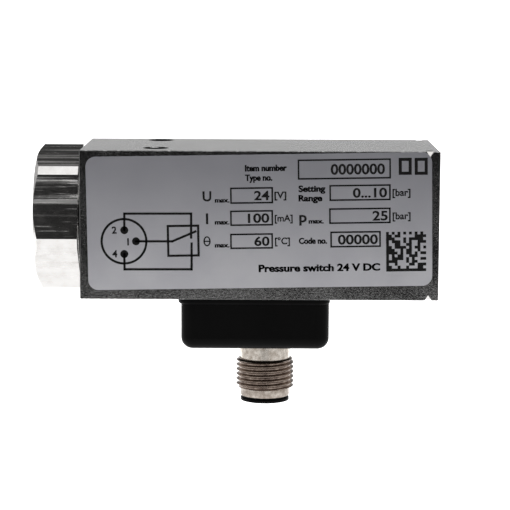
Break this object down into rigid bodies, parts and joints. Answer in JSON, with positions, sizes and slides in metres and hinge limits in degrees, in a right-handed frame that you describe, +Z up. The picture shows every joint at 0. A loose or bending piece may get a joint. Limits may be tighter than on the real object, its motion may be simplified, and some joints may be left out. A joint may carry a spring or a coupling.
{
  "type": "pressure switch",
  "caption": "Adjustable pressure switch: square aluminium housing with hexagon port fitting, round plug connector below, label in front, setting screw at the end and scale at the back.",
  "frame": {"origin": "centre of the pressure port's mouth on the hexagon's outer end face", "axes": "+X from the port along the housing to the setting screw, +Z up with the electrical connector pointing down, label facing -Y, scale window facing +Y"},
  "size_m": [0.0816, 0.0301, 0.0534],
  "materials": {
    "housing": "bare drawn and milled, fine grain",
    "fitting": "bright nickel plate",
    "label": "satin silver film with black print",
    "plastic": "black glass-filled nylon, fine texture",
    "connector_metal": "nickel-plated brass",
    "connector_insert": "black insert",
    "contact": "gold flashed",
    "rubber": "black nitrile rubber",
    "steel": "zinc-plated steel",
    "spring_steel": "drawn spring wire",
    "brass": "machined brass",
    "nut_plastic": "natural acetal",
    "pointer": "red",
    "scale": "white scale, black print",
    "lens": "clear polycarbonate",
    "switch_case": "dark thermoset",
    "switch_cover": "reddish thermoset",
    "button": "ivory",
    "wire_brown": "brown insulation",
    "wire_white": "white insulation",
    "wire_black": "black insulation"
  },
  "bodies": {
    "housing": {"housing_block": "housing", "port_fitting": "fitting", "fitting_oring": "rubber", "diaphragm": "rubber", "guide_bush": "brass", "thrust_washer": "steel", "spindle_oring": "rubber", "end_cap": "plastic", "end_cap_gasket": "rubber", "scale_plate": "scale", "scale_window": "lens", "switch_bracket": "steel", "bracket_screws": "steel", "microswitch_case": "switch_case", "microswitch_cover": "switch_cover", "switch_screws": "steel", "contact_common": "contact", "contact_nc": "contact", "contact_no": "contact", "connector_base": "plastic", "base_gasket": "rubber", "base_screws": "steel", "m12_sleeve": "connector_metal", "m12_oring": "rubber", "m12_nut": "connector_metal", "m12_insert": "connector_insert", "contact_pin_1": "contact", "contact_pin_2": "contact", "contact_pin_4": "contact", "wire_common": "wire_brown", "wire_nc": "wire_white", "wire_no": "wire_black", "name_label": "label"},
    "plunger": {"piston_rod": "steel", "spring_plate": "steel", "trip_screw": "steel", "trip_nut": "steel", "range_spring": "spring_steel"},
    "switch_button": {"microswitch_button": "button"},
    "moving_contact": {"snap_blade": "contact"},
    "spindle": {"adjusting_spindle": "brass", "spindle_circlip": "spring_steel"},
    "slider": {"setting_nut": "nut_plastic", "pointer": "pointer"}
  },
  "joints": [
    {"name": "plunger_slide", "type": "slide", "parent": "housing", "child": "plunger", "axis": [1, 0, 0], "range_m": [0, 0.0005], "stiffness_N_per_m": 6000, "deforming": ["diaphragm", "range_spring"]},
    {"name": "button_slide", "type": "slide", "parent": "housing", "child": "switch_button", "axis": [1, 0, 0], "range_m": [0, 0.0005]},
    {"name": "contact_turn", "type": "hinge", "parent": "housing", "child": "moving_contact", "pos_m": [0.0435, -0.007, -0.0084], "axis": [0, 0, -1], "range_deg": [0, 3.5]},
    {"name": "spindle_turn", "type": "hinge", "parent": "housing", "child": "spindle", "pos_m": [0.08, 0, 0], "axis": [-1, 0, 0], "range_deg": [0, 3601]},
    {"name": "slider_travel", "type": "slide", "parent": "housing", "child": "slider", "axis": [-1, 0, 0], "range_m": [0, 0.008], "deforming": ["range_spring"]}
  ],
  "couplings": [
    {"joint": "button_slide", "follows": "plunger_slide", "ratio": 1},
    {"joint": "contact_turn", "follows": "plunger_slide", "rad_per_m": 120},
    {"joint": "spindle_turn", "follows": "slider_travel", "rad_per_m": 7854}
  ]
}
